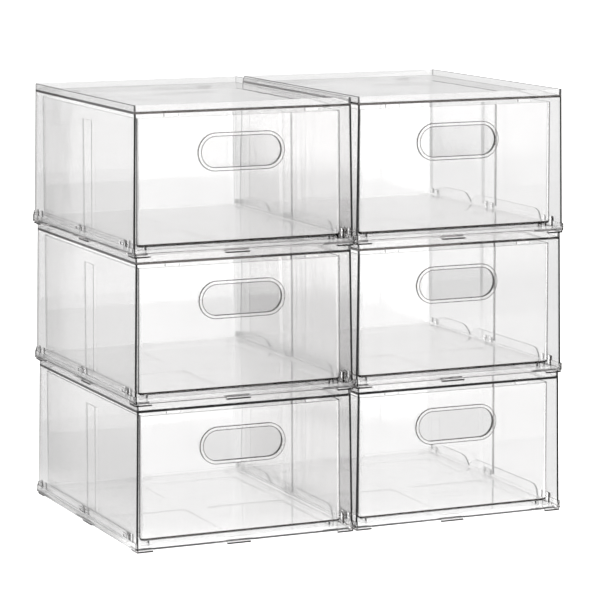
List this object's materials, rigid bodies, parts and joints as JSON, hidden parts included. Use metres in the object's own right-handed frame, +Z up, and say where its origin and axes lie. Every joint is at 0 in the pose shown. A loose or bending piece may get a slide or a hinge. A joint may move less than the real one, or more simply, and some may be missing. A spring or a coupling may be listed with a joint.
{
  "type": "stacking shoe drawer bank",
  "caption": "Stack of clear shoe boxes: each an open-fronted casing on a clip-on base, holding a sliding drawer with a pill-shaped finger hole.",
  "frame": {"origin": "bottom centre of the bank's bounding box, on the surface the feet stand on", "axes": "+Z up, the drawer fronts face -Y, +X to the right when looking at the fronts"},
  "size_m": [0.446, 0.285, 0.4143],
  "materials": {
    "clear_casing": "clear moulded styrene, polished, with dark-looking edges",
    "clear_base": "clear moulded styrene, polished",
    "clear_drawer": "clear moulded styrene, polished"
  },
  "bodies": {
    "lower_units": {"lower_left_base": "clear_base", "lower_left_casing": "clear_casing", "lower_right_base": "clear_base", "lower_right_casing": "clear_casing"},
    "lower_left_drawer": {"lower_left_drawer": "clear_drawer"},
    "lower_right_drawer": {"lower_right_drawer": "clear_drawer"},
    "middle_left_unit": {"middle_left_base": "clear_base", "middle_left_casing": "clear_casing"},
    "middle_left_drawer": {"middle_left_drawer": "clear_drawer"},
    "middle_right_unit": {"middle_right_base": "clear_base", "middle_right_casing": "clear_casing"},
    "middle_right_drawer": {"middle_right_drawer": "clear_drawer"},
    "upper_left_unit": {"upper_left_base": "clear_base", "upper_left_casing": "clear_casing"},
    "upper_left_drawer": {"upper_left_drawer": "clear_drawer"},
    "upper_right_unit": {"upper_right_base": "clear_base", "upper_right_casing": "clear_casing"},
    "upper_right_drawer": {"upper_right_drawer": "clear_drawer"}
  },
  "joints": [
    {"name": "middle_left_lift", "type": "slide", "parent": "lower_units", "child": "middle_left_unit", "axis": [0, 0, 1], "range_m": [0, 0.06]},
    {"name": "upper_left_lift", "type": "slide", "parent": "middle_left_unit", "child": "upper_left_unit", "axis": [0, 0, 1], "range_m": [0, 0.06]},
    {"name": "middle_right_lift", "type": "slide", "parent": "lower_units", "child": "middle_right_unit", "axis": [0, 0, 1], "range_m": [0, 0.06]},
    {"name": "upper_right_lift", "type": "slide", "parent": "middle_right_unit", "child": "upper_right_unit", "axis": [0, 0, 1], "range_m": [0, 0.06]},
    {"name": "lower_left_drawer_slide", "type": "slide", "parent": "lower_units", "child": "lower_left_drawer", "axis": [0, -1, 0], "range_m": [0, 0.264]},
    {"name": "lower_right_drawer_slide", "type": "slide", "parent": "lower_units", "child": "lower_right_drawer", "axis": [0, -1, 0], "range_m": [0, 0.264]},
    {"name": "middle_left_drawer_slide", "type": "slide", "parent": "middle_left_unit", "child": "middle_left_drawer", "axis": [0, -1, 0], "range_m": [0, 0.264]},
    {"name": "middle_right_drawer_slide", "type": "slide", "parent": "middle_right_unit", "child": "middle_right_drawer", "axis": [0, -1, 0], "range_m": [0, 0.264]},
    {"name": "upper_left_drawer_slide", "type": "slide", "parent": "upper_left_unit", "child": "upper_left_drawer", "axis": [0, -1, 0], "range_m": [0, 0.264]},
    {"name": "upper_right_drawer_slide", "type": "slide", "parent": "upper_right_unit", "child": "upper_right_drawer", "axis": [0, -1, 0], "range_m": [0, 0.264]}
  ]
}
